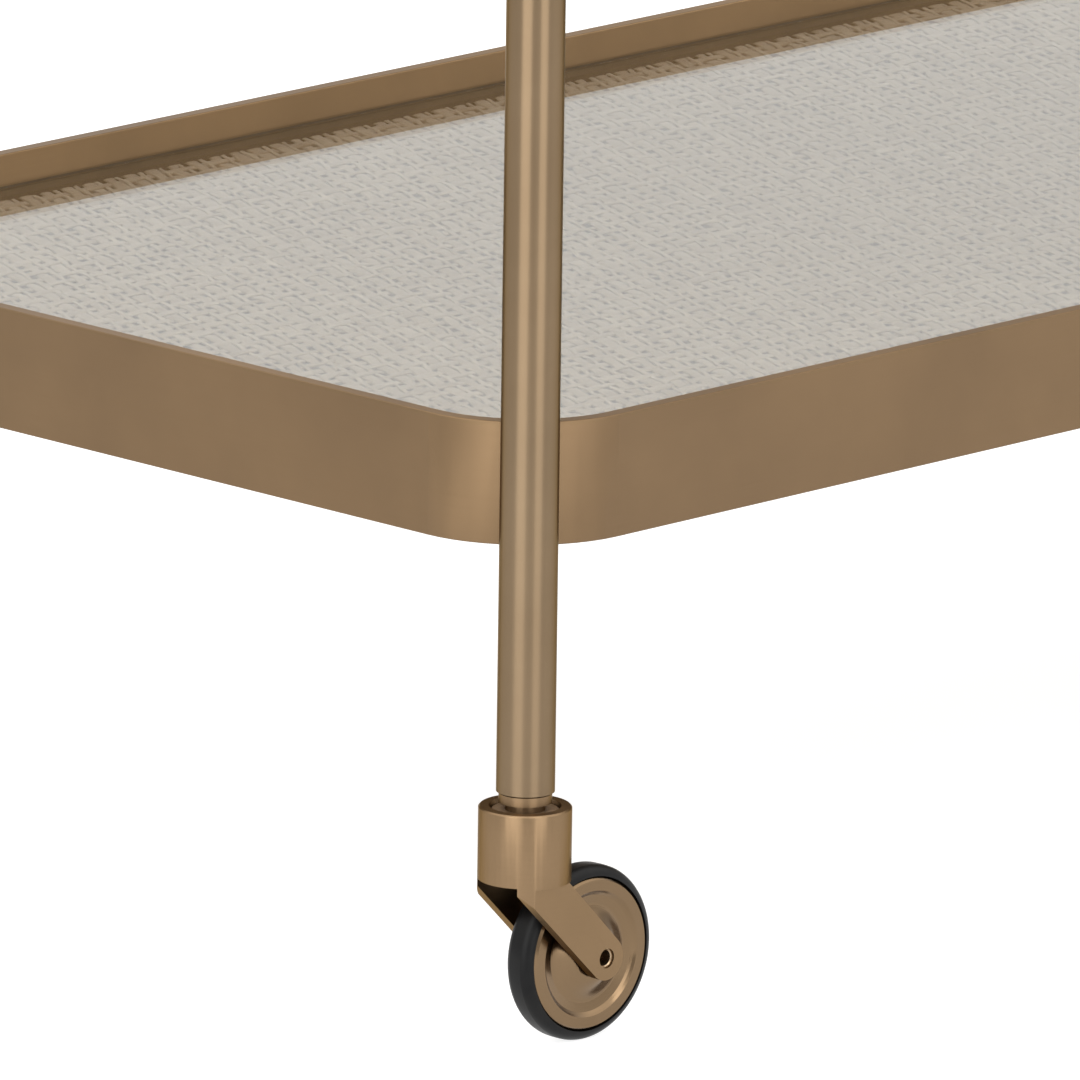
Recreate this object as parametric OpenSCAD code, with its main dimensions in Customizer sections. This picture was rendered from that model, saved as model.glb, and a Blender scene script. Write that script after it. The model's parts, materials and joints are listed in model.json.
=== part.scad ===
// Two-tier bar cart on four swivel casters.
// Two flat-bar trays with a woven panel under glass hang between four round tube posts, and each
// post stands on the stem of a caster. The origin is on the floor under the middle of the cart:
// X runs along the cart, Y across it and Z up.

/* [Trays] */
// Outer length of both trays
tray_length = 900; // [600:10:1200]
// Outer depth of both trays
tray_depth = 470; // [380:10:600]
// Height of the flat bar that makes the rim
rim_height = 47; // [44:1:70]
// Thickness of the flat bar that makes the rim
rim_thickness = 6; // [4:0.5:8]
// Outer radius of the rim's corners
corner_radius = 50; // [35:1:80]
// Bottom of the lower rim above the floor
lower_tray_z = 191; // [150:1:300]
// Bottom of the upper rim above the floor
upper_tray_z = 751; // [600:1:900]

/* [Glass and panel] */
// Thickness of the glass
glass_thickness = 5; // [4:1:8]
// Depth of the glass below the top of the rim
glass_drop = 12.5; // [6:0.1:16]
// Gap between the glass and the rim all round
glass_gap = 1; // [0.5:0.1:3]
// Width of the ledge that carries the glass
ledge_width = 8.7; // [7:0.1:14]
// Thickness of the ledge's top flange
ledge_thickness = 3; // [2:0.5:4]
// Thickness of the woven layer
weave_thickness = 3; // [1:0.5:4]
// Thickness of the board under the weave
board_thickness = 6.5; // [4:0.5:9]

/* [Posts] */
// Outer diameter of the posts
post_diameter = 22; // [19:0.5:32]
// Wall thickness of the posts
post_wall = 1.5; // [1:0.1:2.5]
// Place of the posts round the tray corners: 45 is the diagonal, and less is nearer the long sides
post_angle = 43; // [40:1:50]
// Height of the post tops above the upper rim
post_stand = 12; // [4:1:60]
// Height of the solid cap on each post
cap_height = 4; // [3:0.5:12]

/* [Casters] */
// Diameter of the wheel over its tyre
wheel_diameter = 67; // [64:1:68]
// Width of the tyre
tyre_width = 12.6; // [11:0.1:14]
// Distance from the swivel axis back to the axle
trail = 29; // [24:0.5:31]
// Distance from the axle up to the top of the housing
housing_rise = 61.2; // [60:0.1:68]
// Diameter of the round housing
housing_diameter = 35; // [34:0.5:40]
// Distance over the outer faces of the two fork legs
fork_width = 30; // [29:0.5:32]
// Width of the slot between the fork legs
slot_width = 21; // [20:0.5:22]
// Angle by which each caster stands turned away from the cart's length
rest_yaw = 1; // [0:0.5:10]

/* [Hidden] */
$fn = 96;
tiny = 0.05;
thread_gap = 0.02;
plug_gap = 0.06;

// Corners in the order of their names: the sign of X, then the sign of Y
corner_names = ["front_left", "front_right", "rear_left", "rear_right"];
corner_signs = [[-1, -1], [1, -1], [-1, 1], [1, 1]];
corners = [0:3];
tray_names = ["lower", "upper"];
tray_levels = [lower_tray_z, upper_tray_z];
trays = [0:1];

tray_parts = ["rim", "ledge", "backing_board", "woven_panel", "glass"];
corner_parts = [
    "post", "stem", "stem_clip", "caster_housing", "swivel_bearing",
    "axle", "thrust_washers", "wheel_core", "wheel_bushing", "tyre"
];
fastener_groups = [
    "post_inserts", "post_caps", "post_screws", "post_nuts", "panel_screws", "glass_bumpers"
];

brass = [0.66, 0.54, 0.38];
steel = [0.62, 0.62, 0.60];
rubber = [0.10, 0.10, 0.11];
reed = [0.78, 0.70, 0.55];
board_brown = [0.50, 0.38, 0.26];
nylon = [0.90, 0.88, 0.82];
glass_tint = [0.75, 0.85, 0.82, 0.4];

// Posts touch the outside of the tray corners
post_radius = post_diameter / 2;
post_bore = post_radius - post_wall;
post_x = tray_length / 2 - corner_radius + (corner_radius + post_radius) * sin(post_angle);
post_y = tray_depth / 2 - corner_radius + (corner_radius + post_radius) * cos(post_angle);
wheel_radius = wheel_diameter / 2;
housing_top = wheel_radius + housing_rise;
post_gap = 5.6;
post_bottom = housing_top + post_gap;
post_top = upper_tray_z + rim_height + post_stand;
insert_length = 25;
plug_length = 12;

// Screws that hold the trays to the posts. A head bears on the hollow inside of the corner at its edges.
post_screw_z = 10;
post_screw_radius = 3;
screw_head_radius = 5.5;
screw_head_height = 3.3;
corner_hollow = corner_radius - rim_thickness;
head_lift = corner_hollow - sqrt(pow(corner_hollow, 2) - pow(screw_head_radius, 2)) + tiny;
screw_head_seat = post_radius + rim_thickness + head_lift;
nut_radius = 5.5;
nut_height = 4;

// Heights inside a tray, above the bottom of its rim
glass_top = rim_height - glass_drop;
glass_bottom = glass_top - glass_thickness;
bumper_height = 0.8;
bumper_radius = 3.6;
ledge_top = glass_bottom - bumper_height;
weave_bottom = ledge_top - weave_thickness;
board_bottom = weave_bottom - board_thickness;
flange_thickness = 2;
flange_width = 14;
flange_inset = ledge_width - flange_thickness;
panel_gap = 0.5;

// Screws that hold the board down on the lower flange
panel_screw_radius = 1.75;
panel_screw_length = 6;
panel_head_radius = 3.6;
panel_head_height = 2.2;
panel_screw_inset = rim_thickness + flange_inset + flange_width / 2 + 1;
panel_screw_places = concat(
    [for (x = [-0.4, -0.13, 0.13, 0.4], side = [-1, 1])
        [x * tray_length, side * (tray_depth / 2 - panel_screw_inset)]],
    [for (y = [-0.25, 0.25], side = [-1, 1])
        [side * (tray_length / 2 - panel_screw_inset), y * tray_depth]]
);

// Bumpers sit on the ledge near each corner, one on each side of it
bumper_inset = rim_thickness + ledge_width / 2;
bumper_from_end = 90;
bumper_places = concat(
    [for (s = corner_signs)
        [s.x * (tray_length / 2 - bumper_from_end), s.y * (tray_depth / 2 - bumper_inset)]],
    [for (s = corner_signs)
        [s.x * (tray_length / 2 - bumper_inset), s.y * (tray_depth / 2 - bumper_from_end)]]
);

// Caster housing. Heights are below the top of the housing, and the trail runs along +X.
housing_radius = housing_diameter / 2;
housing_bevel = 0.6;
recess_radius = 13.5;
recess_depth = 3;
bearing_bore = 8;
slot_roof = 27.8;
leg_top = 28.4;
leg_end_radius = 8.4;
leg_face = fork_width / 2;
leg_half_chord = sqrt(pow(housing_radius, 2) - pow(leg_face, 2));
leg_corner_drop = 7.2;
axle_radius = 3.75;
axle_recess = 1;
axle_bore = 3;
axle_countersink = 0.4;
axle_end = leg_face - axle_recess;

// Stem, which stays with the post while the housing turns on it
stem_radius = 5;
stem_end = 25;
stem_thread_length = 20;
neck_radius = 7.5;
collar_radius = 10;
collar_bottom = 1.4;
collar_height = 3.5;
collar_neck_radius = 8.6;
running_gap = 0.06;
bearing_flange_radius = 12.5;
bearing_flange = 1.5;
bearing_length = 22;
clip_radius = 7.2;
clip_groove_radius = 4;
clip_thickness = 1;
clip_top = bearing_length + 0.35;

// Wheel. Distances along the axle are measured from the middle of the wheel.
tyre_shoulder = 4.5;
tyre_crown_radius = 40;
tyre_seat_radius = 26.5;
flange_radius = 29.5;
flange_inner_level = 4.8;
rim_face = 6.7;
rim_bevel = 1.4;
rim_inner_radius = 23.3;
rim_lip = 0.8;
dish_radius = 22.4;
dish_edge_level = 5.2;
dish_level = 4.4;
dish_low_radius = 19;
hub_radius = 8.5;
hub_level = 8.8;
dish_steps = 14;
bushing_radius = 5.5;
bushing_overhang = 0.1;
washer_radius = 7;
washer_gap = 0.15;

// ---- Shared shapes ----

// Flat rounded rectangle, drawn a distance in from the outline of the tray
module tray_outline(inset) {
    length = tray_length - 2 * inset;
    depth = tray_depth - 2 * inset;
    radius = corner_radius - inset;
    square([length - 2 * radius, depth], center = true);
    square([length, depth - 2 * radius], center = true);
    for (s = corner_signs)
        translate([s.x * (length / 2 - radius), s.y * (depth / 2 - radius)])
            circle(r = radius);
}

// Solid plate of the tray's outline
module tray_plate(inset, bottom, height)
    translate([0, 0, bottom])
        linear_extrude(height)
            tray_outline(inset);

// Ring between two insets of the tray's outline
module tray_ring(outer_inset, inner_inset, bottom, height)
    translate([0, 0, bottom])
        linear_extrude(height)
            difference() {
                tray_outline(outer_inset);
                tray_outline(inner_inset);
            }

// Round ring along Z
module ring(outer, inner, height)
    difference() {
        cylinder(r = outer, h = height);
        translate([0, 0, -1])
            cylinder(r = inner, h = height + 2);
    }

// Places its children on a post's axis, on the floor
module at_post(i)
    translate([corner_signs[i].x * post_x, corner_signs[i].y * post_y, 0])
        children();

// Places its children on a post's axis with +Z level, towards the middle of the corner's arc
module at_post_screw(i, level) {
    inward = [-corner_signs[i].x * sin(post_angle), -corner_signs[i].y * cos(post_angle)];
    at_post(i)
        translate([0, 0, level + post_screw_z])
            rotate([0, 90, atan2(inward.y, inward.x)])
                children();
}

// Places its children at the top of a caster's housing, with the trail along +X
module at_caster(i) {
    trailing = [-corner_signs[i].x * cos(rest_yaw), corner_signs[i].y * sin(rest_yaw)];
    at_post(i)
        translate([0, 0, housing_top])
            rotate([0, 0, atan2(trailing.y, trailing.x)])
                children();
}

// Places its children at the middle of a caster's wheel, with the axle along Z
module at_wheel(i)
    at_caster(i)
        translate([trail, 0, -housing_rise])
            rotate([-90, 0, 0])
                children();

// ---- Trays ----

module rim(level)
    color(brass)
        difference() {
            tray_ring(0, rim_thickness, level, rim_height);
            for (i = corners)
                at_post_screw(i, level)
                    cylinder(r = post_screw_radius + 0.3, h = post_radius + rim_thickness + 4);
        }

// Welded frame: a top flange for the glass, a web, and a lower flange for the board
module ledge(level)
    color(brass)
        difference() {
            union() {
                tray_ring(rim_thickness, rim_thickness + ledge_width,
                    level + ledge_top - ledge_thickness, ledge_thickness);
                tray_ring(rim_thickness + flange_inset, rim_thickness + ledge_width,
                    level + board_bottom - flange_thickness, ledge_top - board_bottom + flange_thickness);
                tray_ring(rim_thickness + flange_inset, rim_thickness + flange_inset + flange_width,
                    level + board_bottom - flange_thickness, flange_thickness);
            }
            for (p = panel_screw_places)
                translate([p.x, p.y, level + board_bottom - flange_thickness - 1])
                    cylinder(r = panel_screw_radius + 0.2, h = flange_thickness + 2, $fn = 32);
        }

module backing_board(level)
    color(board_brown)
        difference() {
            tray_plate(rim_thickness + ledge_width + panel_gap, level + board_bottom, board_thickness);
            for (p = panel_screw_places)
                translate([p.x, p.y, level + board_bottom - 1])
                    cylinder(r = panel_screw_radius + thread_gap,
                        h = panel_screw_length - flange_thickness + 1.5, $fn = 32);
        }

module woven_panel(level)
    color(reed)
        tray_plate(rim_thickness + ledge_width + panel_gap, level + weave_bottom, weave_thickness);

module glass(level)
    color(glass_tint)
        tray_plate(rim_thickness + glass_gap, level + glass_bottom, glass_thickness);

module glass_bumpers()
    color(nylon)
        for (level = tray_levels, p = bumper_places)
            translate([p.x, p.y, level + ledge_top])
                cylinder(r = bumper_radius, h = bumper_height, $fn = 32);

module panel_screws()
    color(steel)
        for (level = tray_levels, p = panel_screw_places)
            translate([p.x, p.y, level + board_bottom - flange_thickness]) {
                cylinder(r = panel_screw_radius, h = panel_screw_length, $fn = 32);
                translate([0, 0, -panel_head_height])
                    cylinder(r1 = panel_head_radius - 0.8, r2 = panel_head_radius,
                        h = panel_head_height, $fn = 32);
            }

// ---- Posts ----

module post(i)
    color(brass)
        difference() {
            at_post(i)
                translate([0, 0, post_bottom])
                    ring(post_radius, post_bore, post_top - post_bottom);
            for (level = tray_levels)
                at_post_screw(i, level)
                    cylinder(r = post_screw_radius + thread_gap, h = post_radius + 1);
        }

// Threaded plugs in the lower ends of the posts
module post_inserts()
    color(steel)
        for (i = corners)
            at_post(i)
                translate([0, 0, post_bottom])
                    ring(post_bore - plug_gap, stem_radius + thread_gap, insert_length);

// Solid caps with a spigot in the upper ends of the posts
module post_caps()
    color(brass)
        for (i = corners)
            at_post(i)
                translate([0, 0, post_top]) {
                    translate([0, 0, -plug_length])
                        cylinder(r = post_bore - plug_gap, h = plug_length + 1);
                    cylinder(r = post_radius, h = cap_height - 1.2);
                    translate([0, 0, cap_height - 1.2])
                        cylinder(r1 = post_radius, r2 = post_radius - 1.2, h = 1.2);
                }

// Screws through the rim into the nuts inside the posts
module post_screws()
    color(steel)
        for (i = corners, level = tray_levels)
            at_post_screw(i, level)
                difference() {
                    union() {
                        translate([0, 0, 3])
                            cylinder(r = post_screw_radius, h = screw_head_seat - 3);
                        translate([0, 0, screw_head_seat])
                            cylinder(r1 = screw_head_radius, r2 = screw_head_radius - 1.5,
                                h = screw_head_height);
                    }
                    translate([0, 0, screw_head_seat + screw_head_height - 2])
                        cylinder(r = 2.3, h = 3, $fn = 6);
                }

module post_nuts()
    color(steel)
        for (i = corners, level = tray_levels)
            at_post_screw(i, level)
                translate([0, 0, sqrt(pow(post_bore, 2) - pow(nut_radius, 2)) - nut_height - tiny])
                    difference() {
                        cylinder(r = nut_radius, h = nut_height, $fn = 6);
                        translate([0, 0, -1])
                            cylinder(r = post_screw_radius + thread_gap, h = nut_height + 2);
                    }

// ---- Casters ----

// Point where a line from p touches the round end of a leg, on the chosen side
function leg_tangent(p, side) =
    let (to_end = [trail, -housing_rise] - p,
         touch = norm(to_end) * sqrt(1 - pow(leg_end_radius / norm(to_end), 2)),
         turn = side * asin(leg_end_radius / norm(to_end)),
         along = atan2(to_end.y, to_end.x) + turn)
    p + touch * [cos(along), sin(along)];

// Side view of a leg, in X and Z: a straight arm from the housing to the round end
module leg_outline() {
    front = [leg_half_chord - 0.3, -leg_top];
    back = [-leg_half_chord, -leg_top - leg_corner_drop];
    front_touch = leg_tangent(front, 1);
    back_touch = leg_tangent(back, -1);
    back_slope = (back_touch.y - back.y) / (back_touch.x - back.x);
    back_top = [back.x + leg_corner_drop / back_slope, -leg_top];
    polygon([back_top, back_touch, front_touch, front]);
    translate([trail, -housing_rise])
        circle(r = leg_end_radius);
}

// The legs before the slot is cut, with their backs rounded to the housing's cylinder
module fork_legs()
    difference() {
        rotate([90, 0, 0])
            linear_extrude(fork_width, center = true)
                leg_outline();
        difference() {
            translate([-2 * housing_radius, -housing_radius, -2 * housing_rise])
                cube([2 * housing_radius, housing_diameter, 2 * housing_rise]);
            translate([0, 0, -2 * housing_rise - 1])
                cylinder(r = housing_radius, h = 2 * housing_rise + 2);
        }
    }

module caster_housing(i)
    color(brass)
        at_caster(i)
            difference() {
                union() {
                    translate([0, 0, -leg_top])
                        cylinder(r = housing_radius, h = leg_top - housing_bevel);
                    translate([0, 0, -housing_bevel])
                        cylinder(r1 = housing_radius, r2 = housing_radius - housing_bevel,
                            h = housing_bevel);
                    fork_legs();
                }
                translate([0, 0, -recess_depth])
                    cylinder(r = recess_radius, h = recess_depth + 1);
                translate([0, 0, -leg_top - 1])
                    cylinder(r = bearing_bore, h = leg_top);
                translate([-housing_diameter, -slot_width / 2, -2 * housing_rise])
                    cube([3 * housing_diameter, slot_width, 2 * housing_rise - slot_roof]);
                translate([trail, 0, -housing_rise])
                    rotate([90, 0, 0])
                        cylinder(r = axle_radius + thread_gap, h = fork_width + 2, center = true);
            }

// Flanged sleeve that the stem turns in
module swivel_bearing(i)
    color(nylon)
        at_caster(i)
            difference() {
                union() {
                    translate([0, 0, -recess_depth])
                        cylinder(r = bearing_flange_radius, h = recess_depth - bearing_flange);
                    translate([0, 0, -bearing_length])
                        cylinder(r = bearing_bore - thread_gap, h = bearing_length - recess_depth + 1);
                }
                translate([0, 0, -bearing_length - 1])
                    cylinder(r = stem_radius + running_gap, h = bearing_length + 2);
            }

// Pin with a thrust neck, a visible collar under the post, a thread above and a clip groove below
module stem(i)
    color(brass)
        at_caster(i)
            difference() {
                union() {
                    translate([0, 0, -stem_end])
                        cylinder(r = stem_radius, h = stem_end + post_gap + stem_thread_length);
                    translate([0, 0, -bearing_flange + tiny])
                        cylinder(r = neck_radius, h = bearing_flange - tiny + collar_bottom);
                    translate([0, 0, collar_bottom])
                        cylinder(r = collar_radius, h = collar_height);
                    translate([0, 0, collar_bottom + collar_height])
                        cylinder(r = collar_neck_radius, h = post_gap - collar_bottom - collar_height);
                }
                translate([0, 0, -clip_top - clip_thickness])
                    ring(stem_radius + 1, clip_groove_radius, clip_thickness);
            }

// Retaining ring under the bearing
module stem_clip(i)
    color(steel)
        at_caster(i)
            translate([0, 0, -clip_top - clip_thickness])
                ring(clip_radius, clip_groove_radius, clip_thickness);

// Hollow pin, recessed in the legs at both ends
module axle(i)
    color(steel)
        at_wheel(i)
            difference() {
                cylinder(r = axle_radius, h = 2 * axle_end, center = true);
                cylinder(r = axle_bore, h = fork_width, center = true);
                for (side = [0, 1])
                    mirror([0, 0, side])
                        translate([0, 0, axle_end - axle_countersink])
                            cylinder(r1 = axle_bore, r2 = axle_bore + axle_countersink + tiny,
                                h = axle_countersink + tiny);
            }

module thrust_washers(i)
    color(nylon)
        at_wheel(i)
            for (side = [0, 1])
                mirror([0, 0, side])
                    translate([0, 0, hub_level + bushing_overhang + washer_gap])
                        ring(washer_radius, axle_radius + thread_gap,
                            slot_width / 2 - hub_level - bushing_overhang - washer_gap - tiny);

// Level of the dished web, easing from the hub (part 0) down to its lowest circle (part 1)
function dish_height(part) = hub_level - (hub_level - dish_level) * (3 - 2 * part) * part * part;

// Half section of the wheel's metal core, in radius and distance along the axle
function core_side() = concat(
    [for (k = [0:dish_steps])
        [hub_radius + (dish_low_radius - hub_radius) * k / dish_steps, dish_height(k / dish_steps)]],
    [
        [dish_radius, dish_edge_level],
        [rim_inner_radius, rim_face - rim_lip],
        [rim_inner_radius + rim_lip, rim_face],
        [flange_radius - rim_bevel, rim_face],
        [flange_radius, rim_face - rim_bevel],
        [flange_radius, flange_inner_level],
        [tyre_seat_radius, flange_inner_level]
    ]
);

module wheel_core(i)
    color(brass)
        at_wheel(i)
            rotate_extrude() {
                side = core_side();
                count = len(side);
                polygon(concat(
                    [[bushing_radius + thread_gap, -hub_level], [bushing_radius + thread_gap, hub_level]],
                    side,
                    [for (k = [count - 1:-1:0]) [side[k].x, -side[k].y]]
                ));
            }

module wheel_bushing(i)
    color(nylon)
        at_wheel(i)
            translate([0, 0, -hub_level - bushing_overhang])
                ring(bushing_radius, axle_radius + running_gap, 2 * (hub_level + bushing_overhang));

// Crowned tread with round shoulders that stand over the flanges, on a foot between the flanges
module tyre_section() {
    foot_width = 2 * (flange_inner_level - thread_gap);
    translate([tyre_seat_radius + thread_gap, -foot_width / 2])
        square([flange_radius - tyre_seat_radius + 1, foot_width]);
    intersection() {
        union() {
            for (side = [-1, 1])
                translate([wheel_radius - tyre_shoulder, side * (tyre_width / 2 - tyre_shoulder)])
                    circle(r = tyre_shoulder);
            translate([flange_radius, tyre_shoulder - tyre_width / 2])
                square([wheel_radius - flange_radius, tyre_width - 2 * tyre_shoulder]);
        }
        translate([wheel_radius - tyre_crown_radius, 0])
            circle(r = tyre_crown_radius, $fn = 360);
        translate([flange_radius + thread_gap, -tyre_width])
            square([wheel_radius, 2 * tyre_width]);
    }
}

module tyre(i)
    color(rubber)
        at_wheel(i)
            rotate_extrude()
                tyre_section();

// ---- Assembly ----

for (t = trays) {
    rim(tray_levels[t]);
    ledge(tray_levels[t]);
    backing_board(tray_levels[t]);
    woven_panel(tray_levels[t]);
    glass(tray_levels[t]);
}
post_inserts();
post_caps();
post_screws();
post_nuts();
panel_screws();
glass_bumpers();
for (i = corners) {
    post(i);
    stem(i);
    stem_clip(i);
    caster_housing(i);
    swivel_bearing(i);
    axle(i);
    thrust_washers(i);
    wheel_core(i);
    wheel_bushing(i);
    tyre(i);
}
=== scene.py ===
"""Looks for the two-tier bar cart: materials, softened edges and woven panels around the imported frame,
with the camera, the floor and the lights. Lengths are in metres."""
import json
import math

import bpy
import numpy as np
from mathutils import Matrix, Vector


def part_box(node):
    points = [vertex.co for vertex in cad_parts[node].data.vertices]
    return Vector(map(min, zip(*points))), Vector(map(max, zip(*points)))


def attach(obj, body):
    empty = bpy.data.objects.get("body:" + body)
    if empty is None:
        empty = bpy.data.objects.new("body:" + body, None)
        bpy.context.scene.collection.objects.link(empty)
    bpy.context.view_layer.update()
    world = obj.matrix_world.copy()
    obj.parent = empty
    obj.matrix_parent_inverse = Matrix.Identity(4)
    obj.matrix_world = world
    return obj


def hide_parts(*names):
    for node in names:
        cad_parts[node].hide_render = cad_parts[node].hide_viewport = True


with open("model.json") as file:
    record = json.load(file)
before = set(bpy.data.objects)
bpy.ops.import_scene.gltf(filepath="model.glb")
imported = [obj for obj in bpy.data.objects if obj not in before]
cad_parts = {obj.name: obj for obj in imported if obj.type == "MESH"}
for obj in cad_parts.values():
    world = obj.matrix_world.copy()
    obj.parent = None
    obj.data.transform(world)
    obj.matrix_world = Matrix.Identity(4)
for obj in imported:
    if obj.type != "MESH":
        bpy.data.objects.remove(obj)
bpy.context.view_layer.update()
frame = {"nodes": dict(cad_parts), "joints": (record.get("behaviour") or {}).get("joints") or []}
nodes = frame["nodes"]

CORNERS = ("front_left", "front_right", "rear_left", "rear_right")
TRAYS = ("lower", "upper")
MM = 0.001


# ---- Node helpers ----

# The range that most of a noise texture's values lie in
NOISE_MIDDLE = (0.3, 0.7)


def new_material(name):
    """An empty node material with its Principled shader and its tree."""
    material = bpy.data.materials.new(name)
    material.use_nodes = True
    tree = material.node_tree
    tree.nodes.clear()
    output = tree.nodes.new("ShaderNodeOutputMaterial")
    shader = tree.nodes.new("ShaderNodeBsdfPrincipled")
    tree.links.new(shader.outputs["BSDF"], output.inputs["Surface"])
    return material, tree, shader


def object_coordinates(tree, scale=(1, 1, 1), offset=(0, 0, 0), turn=(0, 0, 0)):
    """The piece's own coordinates, in the row frame, moved, turned and scaled."""
    coordinates = tree.nodes.new("ShaderNodeTexCoord")
    mapping = tree.nodes.new("ShaderNodeMapping")
    mapping.vector_type = "POINT"
    mapping.inputs["Location"].default_value = offset
    mapping.inputs["Rotation"].default_value = turn
    mapping.inputs["Scale"].default_value = scale
    tree.links.new(coordinates.outputs["Object"], mapping.inputs["Vector"])
    return mapping.outputs["Vector"]


def noise(tree, vector, scale, detail=2.0, roughness=0.5):
    """Noise with its output in 0 to 1."""
    texture = tree.nodes.new("ShaderNodeTexNoise")
    texture.inputs["Scale"].default_value = scale
    texture.inputs["Detail"].default_value = detail
    texture.inputs["Roughness"].default_value = roughness
    tree.links.new(vector, texture.inputs["Vector"])
    return texture.outputs["Fac"]


def remap(tree, value, source=NOISE_MIDDLE, target=(0.0, 1.0)):
    """Maps one range of a value onto another, clamped."""
    node = tree.nodes.new("ShaderNodeMapRange")
    node.inputs["From Min"].default_value, node.inputs["From Max"].default_value = source
    node.inputs["To Min"].default_value, node.inputs["To Max"].default_value = target
    tree.links.new(value, node.inputs["Value"])
    return node.outputs["Result"]


def feed(tree, socket, value):
    """Gives an input its value: another node's output, a colour or a number."""
    if isinstance(value, bpy.types.NodeSocket):
        tree.links.new(value, socket)
    elif isinstance(value, tuple):
        socket.default_value = (*value, 1.0)
    else:
        socket.default_value = value


def math_node(tree, operation, *values):
    """One math node. Each value is a socket or a number."""
    node = tree.nodes.new("ShaderNodeMath")
    node.operation = operation
    for socket, value in zip(node.inputs, values):
        feed(tree, socket, value)
    return node.outputs["Value"]


def mix_colors(tree, factor, first, second):
    """A blend of two colours, each a socket or a triple."""
    node = tree.nodes.new("ShaderNodeMix")
    node.data_type = "RGBA"
    # The node has a set of sockets for each data type, and these are the colour ones
    feed(tree, node.inputs[0], factor)
    feed(tree, node.inputs[6], first)
    feed(tree, node.inputs[7], second)
    return node.outputs[2]


def add_bump(tree, shader, height, strength, relief):
    """Bump from a height socket."""
    bump = tree.nodes.new("ShaderNodeBump")
    bump.inputs["Strength"].default_value = strength
    bump.inputs["Distance"].default_value = relief
    tree.links.new(height, bump.inputs["Height"])
    tree.links.new(bump.outputs["Normal"], shader.inputs["Normal"])


# ---- Materials ----

# Noise frequencies, per metre
PATINA_GRAIN = 14.0
SPECKLE_GRAIN = 900.0
MOTTLE_GRAIN = 260.0
MOULDED_GRAIN = 700.0
RUBBER_GRAIN = 1400.0
DUST_GRAIN = 90.0
SMUDGE_GRAIN = 9.0
STAIN_GRAIN = 120.0
FLECK_GRAIN = 420.0
CLOUD_GRAIN = 14.0

# Brushing frequencies along X, Y and Z, per metre
POST_BRUSHING = (500, 500, 5)
RIM_BRUSHING = (4, 4, 700)
CASTER_BRUSHING = (90, 90, 900)
LATHE_MARKS = 900

# Fibre frequencies along and across a strand, per metre
FIBRE_ALONG = 60
FIBRE_ACROSS = 1300

# Depths of the bump maps
FINE_RELIEF = 0.1 * MM
COARSE_RELIEF = 0.2 * MM

# What each texture adds to a brass's tone and to its relief
BRUSHING_SHARE = 0.2
SPECKLE_SHARE = 0.25

# Turns the stretch of the highlights from along a radial tangent to across it
QUARTER_TURN = 0.25

# Dark and light tones
POST_TONES = (0.172, 0.121, 0.073), (0.200, 0.143, 0.088)
RIM_TONES = (0.182, 0.120, 0.067), (0.210, 0.139, 0.077)
# Painted light: the rim's inward-facing sides get lighter brass than its outer sides, standing in for
# the brighter light they reflect
RIM_INSIDE_PAINTED_LIGHT_TONES = (0.33, 0.217, 0.115), (0.38, 0.25, 0.132)
CASTER_TONES = (0.195, 0.130, 0.073), (0.222, 0.148, 0.084)
WHEEL_TONES = (0.160, 0.107, 0.061), (0.190, 0.128, 0.074)
RUBBER_TONES = (0.003, 0.003, 0.0033), (0.007, 0.0068, 0.0065)
REED_TONES = (0.34, 0.255, 0.165), (0.48, 0.395, 0.285)
BOARD_TONES = (0.14, 0.095, 0.055), (0.22, 0.155, 0.095)

# Single colours
NO_TINT = (1, 1, 1)
GLANCING = (0.56, 0.49, 0.40)
PIN_BRASS = (0.42, 0.31, 0.20)
STEEL = (0.52, 0.51, 0.48)
# Nearly black, matt colour of the ledges under the glass edges
NEAR_BLACK_LEDGE = (0.035, 0.030, 0.022)
NYLON = (0.16, 0.10, 0.055)
VINYL = (0.55, 0.56, 0.53)
# Painted shade: the glass's upright edges are an opaque dark brown, standing in for the dark line along
# the glass edge
GLASS_EDGE_PAINTED_SHADE = (0.11, 0.095, 0.07)
GLASS = (0.975, 0.99, 0.982)
REED_STREAK = (0.27, 0.19, 0.115)
REED_AGED = (0.50, 0.425, 0.325)
BOARD_CLOUD = (0.17, 0.12, 0.075)


def shaded(colour, share):
    """A colour dimmed to a share of its brightness."""
    return tuple(share * part for part in colour)


def turned_coordinates(tree, centre, axis, frequency):
    """Coordinates for lathe marks: the distance from the axle line and the place along it."""
    turn = Vector(axis).to_track_quat("Z", "Y").inverted()
    moved = turn @ (-Vector(centre))
    vector = object_coordinates(tree, offset=tuple(moved), turn=tuple(turn.to_euler("XYZ")))
    split = tree.nodes.new("ShaderNodeSeparateXYZ")
    tree.links.new(vector, split.inputs["Vector"])
    squares = [math_node(tree, "MULTIPLY", split.outputs[k], split.outputs[k]) for k in ("X", "Y")]
    radius = math_node(tree, "SQRT", math_node(tree, "ADD", *squares))
    join = tree.nodes.new("ShaderNodeCombineXYZ")
    tree.links.new(math_node(tree, "MULTIPLY", radius, frequency), join.inputs["X"])
    tree.links.new(math_node(tree, "MULTIPLY", split.outputs["Z"], frequency), join.inputs["Y"])
    return join.outputs["Vector"]


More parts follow.
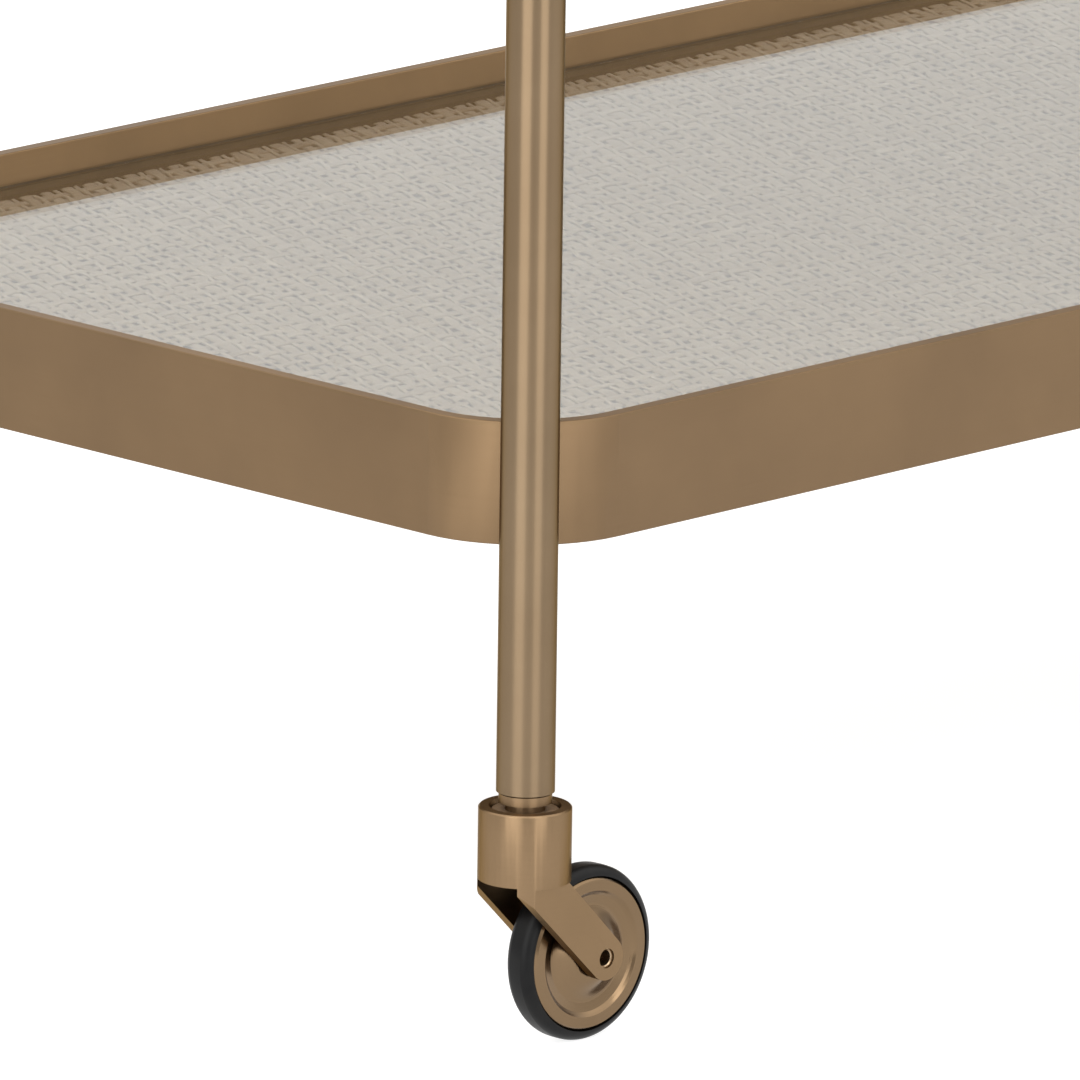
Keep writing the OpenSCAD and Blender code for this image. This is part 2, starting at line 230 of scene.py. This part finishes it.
def brass(name, tones, roughness, grain=None, lathe=None, stretch=0.0, edge=NO_TINT):
    """Satin brass with fine brushing, slow patina and tiny specks.
    grain is the frequency of the brushing along X, Y and Z, and lathe is the axle line that turned
    marks go round, with their frequency. stretch lengthens the highlights across the brushing, and
    edge tints the metal where it is seen at a glancing angle."""
    material, tree, shader = new_material(name)
    vector = turned_coordinates(tree, *lathe) if lathe else object_coordinates(tree, grain)
    plain = object_coordinates(tree)
    brushing = noise(tree, vector, 1.0, detail=4.0, roughness=0.6)
    patina = noise(tree, plain, PATINA_GRAIN, detail=4.0, roughness=0.55)
    speckle = noise(tree, plain, SPECKLE_GRAIN)
    tone = math_node(tree, "ADD", math_node(tree, "MULTIPLY", brushing, BRUSHING_SHARE),
                     math_node(tree, "MULTIPLY", patina, 1 - BRUSHING_SHARE))
    colour = mix_colors(tree, remap(tree, tone, (0.38, 0.62)), *tones)
    rough = math_node(tree, "ADD",
                      remap(tree, brushing, target=(roughness - 0.03, roughness + 0.03)),
                      remap(tree, patina, target=(-0.02, 0.02)))
    tree.links.new(colour, shader.inputs["Base Color"])
    tree.links.new(rough, shader.inputs["Roughness"])
    shader.inputs["Metallic"].default_value = 1.0
    shader.inputs["Specular Tint"].default_value = (*edge, 1)
    if stretch:
        shader.inputs["Anisotropic"].default_value = stretch
        shader.inputs["Anisotropic Rotation"].default_value = QUARTER_TURN
        tangent = tree.nodes.new("ShaderNodeTangent")
        tangent.direction_type = "RADIAL"
        tangent.axis = "Z"
        tree.links.new(tangent.outputs["Tangent"], shader.inputs["Tangent"])
    relief = math_node(tree, "ADD", brushing, math_node(tree, "MULTIPLY", speckle, SPECKLE_SHARE))
    add_bump(tree, shader, relief, 0.025, FINE_RELIEF)
    return material


def plain_metal(name, colour, roughness):
    """Zinc-plated steel or plain brass with a faint mottle."""
    material, tree, shader = new_material(name)
    mottle = noise(tree, object_coordinates(tree), MOTTLE_GRAIN, detail=3.0)
    tree.links.new(mix_colors(tree, remap(tree, mottle), shaded(colour, 0.72), colour),
                   shader.inputs["Base Color"])
    tree.links.new(remap(tree, mottle, target=(roughness - 0.06, roughness + 0.08)),
                   shader.inputs["Roughness"])
    shader.inputs["Metallic"].default_value = 1.0
    add_bump(tree, shader, mottle, 0.08, FINE_RELIEF)
    return material


def plastic(name, colour, roughness, gloss=0.5):
    """Moulded plastic, the near-black ledges and the glass edges' painted shade, each with a fine
    texture. gloss is its specular level.
    """
    material, tree, shader = new_material(name)
    texture = noise(tree, object_coordinates(tree), MOULDED_GRAIN, detail=3.0)
    tree.links.new(mix_colors(tree, texture, shaded(colour, 0.8), colour), shader.inputs["Base Color"])
    tree.links.new(remap(tree, texture, target=(roughness - 0.05, roughness + 0.05)),
                   shader.inputs["Roughness"])
    shader.inputs["Specular IOR Level"].default_value = gloss
    add_bump(tree, shader, texture, 0.1, FINE_RELIEF)
    return material


def rubber():
    """Black rubber, a little dusty where it rolls."""
    material, tree, shader = new_material("tyre_rubber")
    vector = object_coordinates(tree)
    grain = noise(tree, vector, RUBBER_GRAIN, detail=3.0)
    dust = noise(tree, vector, DUST_GRAIN, detail=4.0)
    tree.links.new(mix_colors(tree, remap(tree, dust, (0.42, 0.75)), *RUBBER_TONES),
                   shader.inputs["Base Color"])
    tree.links.new(remap(tree, dust, target=(0.34, 0.46)), shader.inputs["Roughness"])
    shader.inputs["Specular IOR Level"].default_value = 0.15
    add_bump(tree, shader, grain, 0.12, FINE_RELIEF)
    return material


def clear_glass():
    """Clear float glass with a few faint smudges."""
    material, tree, shader = new_material("clear_glass")
    smudge = noise(tree, object_coordinates(tree), SMUDGE_GRAIN, detail=4.0)
    shader.inputs["Base Color"].default_value = (*GLASS, 1)
    shader.inputs["Transmission Weight"].default_value = 1.0
    shader.inputs["IOR"].default_value = 1.5
    tree.links.new(remap(tree, smudge, (0.45, 0.8), (0.0, 0.035)), shader.inputs["Roughness"])
    return material


def reed(name, grain):
    """Natural reed: each strand has its own tone, with fibres along it."""
    material, tree, shader = new_material(name)
    tone = tree.nodes.new("ShaderNodeAttribute")
    tone.attribute_name = "tone"
    fibres = noise(tree, object_coordinates(tree, grain), 1.0, detail=4.0, roughness=0.65)
    stain = noise(tree, object_coordinates(tree), STAIN_GRAIN, detail=3.0)
    base = mix_colors(tree, tone.outputs["Fac"], *REED_TONES)
    streaked = mix_colors(tree, remap(tree, fibres, (0.42, 0.66), (0.0, 0.4)), base, REED_STREAK)
    aged = mix_colors(tree, remap(tree, stain, (0.5, 0.75), (0.0, 0.35)), streaked, REED_AGED)
    tree.links.new(aged, shader.inputs["Base Color"])
    tree.links.new(remap(tree, fibres, target=(0.55, 0.75)), shader.inputs["Roughness"])
    shader.inputs["Sheen Weight"].default_value = 0.15
    add_bump(tree, shader, fibres, 0.3, COARSE_RELIEF)
    return material


def board():
    """Stained fibreboard."""
    material, tree, shader = new_material("board")
    vector = object_coordinates(tree)
    flecks = noise(tree, vector, FLECK_GRAIN, detail=5.0, roughness=0.7)
    cloud = noise(tree, vector, CLOUD_GRAIN)
    stained = mix_colors(tree, remap(tree, flecks, (0.35, 0.65)), *BOARD_TONES)
    tree.links.new(mix_colors(tree, remap(tree, cloud, target=(0.0, 0.4)), stained, BOARD_CLOUD),
                   shader.inputs["Base Color"])
    tree.links.new(remap(tree, flecks, target=(0.55, 0.75)), shader.inputs["Roughness"])
    add_bump(tree, shader, flecks, 0.3, COARSE_RELIEF)
    return material


# ---- Camera, floor and surroundings ----

# Where the camera looks from, as angles about the lower tray's near corner
VIEW_AZIMUTH = math.radians(-45.76)
VIEW_ELEVATION = math.radians(13.92)
VIEW_ROLL = math.radians(0.78)
VIEW_DISTANCE = 7.463
VIEW_LENS = 673.4
VIEW_SENSOR = 36
VIEW_REACH = 200

# The point looked at, from that corner
LOOK_OFFSET = Vector((8.8 * MM, 0, 5.8 * MM))

FLOOR_REACH = 60
FLOOR_GREY = 0.36
FLOOR_GLOW = 0.84

# The surroundings' strength, between two heights on the sky
SKY_COLOUR = (1.0, 0.985, 0.965)
SKY_HEIGHTS = (0.30, 0.70)
SKY_STRENGTHS = (0.80, 2.2)


def link(thing):
    """Puts an object into the scene."""
    bpy.context.scene.collection.objects.link(thing)
    return thing


def make_camera():
    """The camera of the close view of the lower near corner."""
    back = Vector((math.sin(VIEW_AZIMUTH) * math.cos(VIEW_ELEVATION),
                   -math.cos(VIEW_AZIMUTH) * math.cos(VIEW_ELEVATION),
                   math.sin(VIEW_ELEVATION)))
    level = Vector((math.cos(VIEW_AZIMUTH), math.sin(VIEW_AZIMUTH), 0))
    upright = back.cross(level)
    right = math.cos(VIEW_ROLL) * level + math.sin(VIEW_ROLL) * upright
    up = back.cross(right)
    data = bpy.data.cameras.new("camera")
    data.lens = VIEW_LENS
    data.sensor_width = VIEW_SENSOR
    data.clip_end = VIEW_REACH
    camera = link(bpy.data.objects.new("camera", data))
    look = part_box("lower_rim")[0] + LOOK_OFFSET
    turn = Matrix((right, up, back)).transposed().to_4x4()
    camera.matrix_world = Matrix.Translation(look + VIEW_DISTANCE * back) @ turn
    bpy.context.scene.camera = camera


def floor_material():
    """Matt white studio floor, lit from below like a light table."""
    material, tree, shader = new_material("studio_floor")
    shader.inputs["Base Color"].default_value = (FLOOR_GREY, FLOOR_GREY, FLOOR_GREY, 1)
    shader.inputs["Roughness"].default_value = 0.9
    shader.inputs["Specular IOR Level"].default_value = 0.0
    shader.inputs["Emission Color"].default_value = (1, 1, 1, 1)
    shader.inputs["Emission Strength"].default_value = FLOOR_GLOW
    return material


def make_floor():
    """A wide level floor under the wheels."""
    corners = [(x * FLOOR_REACH, y * FLOOR_REACH, 0) for x, y in ((-1, -1), (1, -1), (1, 1), (-1, 1))]
    mesh = bpy.data.meshes.new("floor")
    mesh.from_pydata(corners, [], [range(4)])
    mesh.materials.append(floor_material())
    link(bpy.data.objects.new("floor", mesh))


def make_world():
    """An even pale studio all round, brighter overhead."""
    world = bpy.data.worlds.new("studio")
    world.use_nodes = True
    bpy.context.scene.world = world
    tree = world.node_tree
    background = tree.nodes["Background"]
    background.inputs["Color"].default_value = (*SKY_COLOUR, 1)
    direction = tree.nodes.new("ShaderNodeTexCoord")
    split = tree.nodes.new("ShaderNodeSeparateXYZ")
    tree.links.new(direction.outputs["Generated"], split.inputs["Vector"])
    tree.links.new(remap(tree, split.outputs["Z"], SKY_HEIGHTS, SKY_STRENGTHS),
                   background.inputs["Strength"])


make_camera()
make_floor()
make_world()
bpy.context.scene.view_settings.view_transform = "Standard"


# ---- Woven panels ----

# The wefts lie along X. The warps lean towards X by the slant, and each pitch holds a broad reed and a
# slim one.
WEFT_PITCH = 8.13 * MM
WARP_PITCH = 11.5 * MM
SLANT = math.radians(67.6)
LEAN = 1 / math.tan(SLANT)
WEFT_WIDTH = 6.4 * MM
BROAD_WIDTH = 6.5 * MM
SLIM_WIDTH = 2.7 * MM
SLIM_OFFSET = 5.0 * MM
STRAND_THICKNESS = 0.45 * MM
PANEL_CORNER = 34.8 * MM
PANEL_INSET = 0.4 * MM

# How far a strand rises and dips as it crosses the others, and how far from its ends it lies flat
WAVE = 0.16 * MM
SLIM_LIFT = 0.18 * MM
FLAT_END = 9 * MM
STEPS_PER_CELL = 4
FEWEST_POINTS = 3

# A strand's section, from edge to edge, as shares of its width and its thickness
SECTION = ((-0.50, -0.30), (-0.24, 0.45), (0.24, 0.45), (0.50, -0.30))

# Tones from 0, dark, to 1, light
WEFT_TONE = 0.5
BROAD_TONE = 0.45
SLIM_TONE = 0.9

# How strands differ: the spread from one to the next, the drift along each, and the steps between
# the drift's new values
WEAVE_SEED = 11
WIDTH_SHARES = (0.86, 1.04)
WEFT_WIDTH_DRIFT = 0.15
WARP_WIDTH_DRIFT = 0.16
WIDTH_STEPS = 3
WEFT_SWAY = 0.5 * MM
WEFT_SWAY_STEPS = 5
WARP_SWAY = 0.55 * MM
WARP_SWAY_STEPS = 6
RISE_DRIFT = 0.10 * MM
RISE_STEPS = 2
TONE_SPREAD = 0.15
TONE_DRIFT = 0.16
TONE_STEPS = 3


def inside_panel(x, y, half_x, half_y, side_room):
    """Which points lie inside the panel's rounded outline, with room at the left and right edges."""
    past_x = np.maximum(np.abs(x) - (half_x - side_room - PANEL_CORNER), 0)
    past_y = np.maximum(np.abs(y) - (half_y - PANEL_INSET - PANEL_CORNER), 0)
    return past_x ** 2 + past_y ** 2 <= PANEL_CORNER ** 2


def strand_solid(points, side, width, tone):
    """One closed flat strand along a line of points, as vertices, faces and a tone for each vertex."""
    lift = np.array([0, 0, STRAND_THICKNESS])
    edge = side * width[:, None]
    ring = np.stack([points + across * edge + rise * lift for across, rise in SECTION], axis=1)
    sides = len(SECTION)
    index = np.arange(len(points) * sides).reshape(len(points), sides)
    ahead, behind = index[1:], index[:-1]
    faces = [index[:1, ::-1], index[-1:]]
    for k in range(sides):
        n = (k + 1) % sides
        faces.append(np.stack([behind[:, k], ahead[:, k], ahead[:, n], behind[:, n]], axis=1))
    return ring.reshape(-1, 3), np.concatenate(faces), np.repeat(tone, sides)


def wander(rng, count, spread, every):
    """A slow random walk about zero with a new value every few steps."""
    knots = rng.normal(0, spread, count // every + 3)
    return np.interp(np.arange(count) / every, np.arange(len(knots)), knots)


def vary_width(rng, usual, drift, count):
    """A strand's width at each of its points."""
    return usual * (rng.uniform(*WIDTH_SHARES) + wander(rng, count, drift, WIDTH_STEPS))


def vary_tone(rng, usual, count):
    """A strand's tone at each of its points."""
    return np.clip(rng.normal(usual, TONE_SPREAD) + wander(rng, count, TONE_DRIFT, TONE_STEPS), 0, 1)


def flatten_ends(place, reach):
    """1 over most of a strand, easing to 0 at its ends, where it is pressed flat."""
    return np.clip((reach - np.abs(place)) / FLAT_END, 0, 1)


def weft_strands(half_x, half_y, rng):
    """The strands along X, which pass over and under the warps in turn."""
    side = np.array([0.0, 1.0, 0.0])
    reach = half_x - PANEL_INSET
    whole_line = np.linspace(-reach, reach, round(2 * reach / WARP_PITCH * STEPS_PER_CELL))
    rows = int(half_y / WEFT_PITCH)
    for row in range(-rows, rows + 1):
        y = row * WEFT_PITCH
        x = whole_line[inside_panel(whole_line, y, half_x, half_y, PANEL_INSET)]
        count = len(x)
        cell = (x - y * LEAN) / WARP_PITCH
        level = flatten_ends(x, reach) * WAVE * np.cos(math.pi * (cell + row))
        width = vary_width(rng, WEFT_WIDTH, WEFT_WIDTH_DRIFT, count)
        points = np.stack([x, y + wander(rng, count, WEFT_SWAY, WEFT_SWAY_STEPS),
                           level + wander(rng, count, RISE_DRIFT, RISE_STEPS)], axis=1)
        yield strand_solid(points, side, width, vary_tone(rng, WEFT_TONE, count))


def warp_strands(half_x, half_y, own_width, offset, lift, tone, rng):
    """The slanted strands of one width, which pass under the wefts that go over them."""
    side = np.array([1.0, 0.0, 0.0])
    reach = half_y - PANEL_INSET
    whole_line = np.linspace(-reach, reach, round(2 * reach / WEFT_PITCH * STEPS_PER_CELL))
    columns = int((half_x + half_y * LEAN) / WARP_PITCH) + 1
    for column in range(-columns, columns + 1):
        x = column * WARP_PITCH + offset + whole_line * LEAN
        keep = inside_panel(x, whole_line, half_x, half_y, own_width)
        x, y = x[keep], whole_line[keep]
        count = len(y)
        if count < FEWEST_POINTS:
            continue
        level = flatten_ends(y, reach) * (lift - WAVE * np.cos(math.pi * (y / WEFT_PITCH + column)))
        width = vary_width(rng, own_width / math.sin(SLANT), WARP_WIDTH_DRIFT, count)
        points = np.stack([x + wander(rng, count, WARP_SWAY, WARP_SWAY_STEPS), y,
                           level + wander(rng, count, RISE_DRIFT, RISE_STEPS)], axis=1)
        yield strand_solid(points, side, width, vary_tone(rng, tone, count))


def strand_mesh(name, strands, material):
    """One mesh of many strands, with the tone attribute."""
    vertices, faces, tones, start = [], [], [], 0
    for points, own_faces, tone in strands:
        vertices.append(points)
        faces.append(own_faces + start)
        tones.append(tone)
        start += len(points)
    mesh = bpy.data.meshes.new(name)
    mesh.from_pydata(np.concatenate(vertices).tolist(), [], np.concatenate(faces).tolist())
    mesh.polygons.foreach_set("use_smooth", np.ones(len(mesh.polygons), dtype=bool))
    mesh.attributes.new("tone", "FLOAT", "POINT").data.foreach_set(
        "value", np.concatenate(tones).astype(np.float32))
    mesh.materials.append(material)
    mesh.update()
    return mesh


def make_woven_panels():
    """Reed strands woven loosely on a slant, in place of the plain panels."""
    low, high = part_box("lower_woven_panel")
    half = (high - low) / 2
    rng = np.random.default_rng(WEAVE_SEED)
    slanted = reed("reed_warp", (FIBRE_ACROSS, FIBRE_ALONG, FIBRE_ACROSS))
    level = reed("reed_weft", (FIBRE_ALONG, FIBRE_ACROSS, FIBRE_ACROSS))
    weft = weft_strands(half.x, half.y, rng)
    broad = warp_strands(half.x, half.y, BROAD_WIDTH, 0, 0, BROAD_TONE, rng)
    slim = warp_strands(half.x, half.y, SLIM_WIDTH, SLIM_OFFSET, SLIM_LIFT, SLIM_TONE, rng)
    # The strands are drawn as each mesh is made, in this order
    meshes = {
        "weft_strands": strand_mesh("weft", weft, level),
        "broad_strands": strand_mesh("broad", broad, slanted),
        "slim_strands": strand_mesh("slim", slim, slanted),
    }
    for tray in TRAYS:
        node = tray + "_woven_panel"
        low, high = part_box(node)
        for name, mesh in meshes.items():
            piece = link(bpy.data.objects.new(tray + "_" + name, mesh))
            piece.location = (low + high) / 2
            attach(piece, "cart")
            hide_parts(node)


make_woven_panels()


# ---- Materials and softened edges on the CAD pieces ----

RIM_ROUND = 0.7 * MM
GLASS_ROUND = 0.3 * MM
HOUSING_ROUND = 0.35 * MM
WELD_GAP = 0.002 * MM
SHARP_ANGLE = math.radians(30)

# A face stands upright when the Z part of its normal is smaller than this
UPRIGHT = 0.5


def soften(name, width):
    """Rounds a CAD node's sharp edges by a small real radius."""
    piece = nodes[name]
    weld = piece.modifiers.new("weld", "WELD")
    weld.merge_threshold = WELD_GAP
    bevel = piece.modifiers.new("bevel", "BEVEL")
    bevel.width = width
    bevel.segments = 2
    bevel.limit_method = "ANGLE"
    bevel.angle_limit = SHARP_ANGLE
    bevel.harden_normals = True
    bevel.use_clamp_overlap = True


def dress(name, material):
    """Gives a CAD node its material."""
    piece = nodes[name]
    piece.data.materials.clear()
    piece.data.materials.append(material)


def dress_faces(name, material, chosen):
    """Puts a second material on the faces of a CAD node that a test picks."""
    mesh = nodes[name].data
    mesh.materials.append(material)
    for face in mesh.polygons:
        face.material_index = int(chosen(face))


def stands_upright(face):
    """Whether a face is one of the piece's sides."""
    return abs(face.normal.z) < UPRIGHT


def looks_inwards(face):
    """Whether a face is a side that looks towards the middle of the tray."""
    return stands_upright(face) and face.normal.x * face.center.x + face.normal.y * face.center.y < 0


post_brass = brass("brass_post", POST_TONES, 0.36, POST_BRUSHING, stretch=0.8, edge=GLANCING)
rim_brass = brass("brass_rim", RIM_TONES, 0.55, RIM_BRUSHING, stretch=0.6)
# Painted light: lighter brass for the rim's inward-facing sides
rim_inside_painted_light_brass = brass("brass_rim_inside_painted_light", RIM_INSIDE_PAINTED_LIGHT_TONES, 0.55, RIM_BRUSHING, stretch=0.6)
caster_brass = brass("brass_caster", CASTER_TONES, 0.34, CASTER_BRUSHING, stretch=0.7, edge=GLANCING)
near_black_ledge = plastic("near_black_ledge_finish", NEAR_BLACK_LEDGE, 0.7, gloss=0.08)
pin_brass = plain_metal("brass_pin", PIN_BRASS, 0.3)
steel = plain_metal("zinc_steel", STEEL, 0.32)
nylon = plastic("nylon", NYLON, 0.45)
vinyl = plastic("clear_vinyl", VINYL, 0.3)
tyre_rubber = rubber()
glass = clear_glass()
# Painted shade for the glass's upright edges
glass_edge_painted_shade = plastic("painted_shade_glass_edge", GLASS_EDGE_PAINTED_SHADE, 0.75, gloss=0.1)
board_finish = board()

for tray in TRAYS:
    dress(tray + "_rim", rim_brass)
    # The ledges under the glass are nearly black and matt
    dress(tray + "_ledge", near_black_ledge)
    dress(tray + "_backing_board", board_finish)
    dress(tray + "_glass", glass)
    # The glass's upright edge faces get the painted shade
    dress_faces(tray + "_glass", glass_edge_painted_shade, stands_upright)
    # The inward-facing rim sides get the lighter brass, which is painted light
    dress_faces(tray + "_rim", rim_inside_painted_light_brass, looks_inwards)
    soften(tray + "_rim", RIM_ROUND)
    soften(tray + "_glass", GLASS_ROUND)
for name in ("post_inserts", "post_screws", "post_nuts", "panel_screws"):
    dress(name, steel)
dress("post_caps", post_brass)
dress("glass_bumpers", vinyl)
joints = {joint["name"]: joint for joint in frame["joints"]}
for corner in CORNERS:
    spin = joints["spin_" + corner]
    wheel_brass = brass("brass_wheel_" + corner, WHEEL_TONES, 0.21,
                        lathe=(spin["pos_m"], spin["axis"], LATHE_MARKS))
    dress("post_" + corner, post_brass)
    dress("stem_" + corner, caster_brass)
    dress("stem_clip_" + corner, steel)
    dress("caster_housing_" + corner, caster_brass)
    dress("swivel_bearing_" + corner, nylon)
    dress("axle_" + corner, pin_brass)
    dress("thrust_washers_" + corner, nylon)
    dress("wheel_core_" + corner, wheel_brass)
    dress("wheel_bushing_" + corner, nylon)
    dress("tyre_" + corner, tyre_rubber)
    soften("caster_housing_" + corner, HOUSING_ROUND)


# ---- Lights ----

def stand_light(name, bearing, distance, width, height, radiance):
    """An upright softbox on the floor, at a bearing and a distance from the near post, facing it."""
    low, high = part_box("post_front_left")
    aim = (low + high) / 2
    aim.z = height / 2
    turn = math.radians(bearing)
    middle = aim + distance * Vector((math.cos(turn), math.sin(turn), 0))
    data = bpy.data.lights.new(name, "AREA")
    data.shape = "RECTANGLE"
    data.size, data.size_y = width, height
    data.energy = radiance * math.pi * width * height
    light = link(bpy.data.objects.new(name, data))
    light.location = middle
    light.rotation_euler = (aim - middle).to_track_quat("-Z", "Y").to_euler()
    light.visible_camera = False


stand_light("left_softbox", bearing=192, distance=0.9, width=0.62, height=2.2, radiance=2.4)
stand_light("front_softbox", bearing=260, distance=0.9, width=0.46, height=2.2, radiance=2.1)
stand_light("right_softbox", bearing=315, distance=2.6, width=1.9, height=2.4, radiance=0.42)
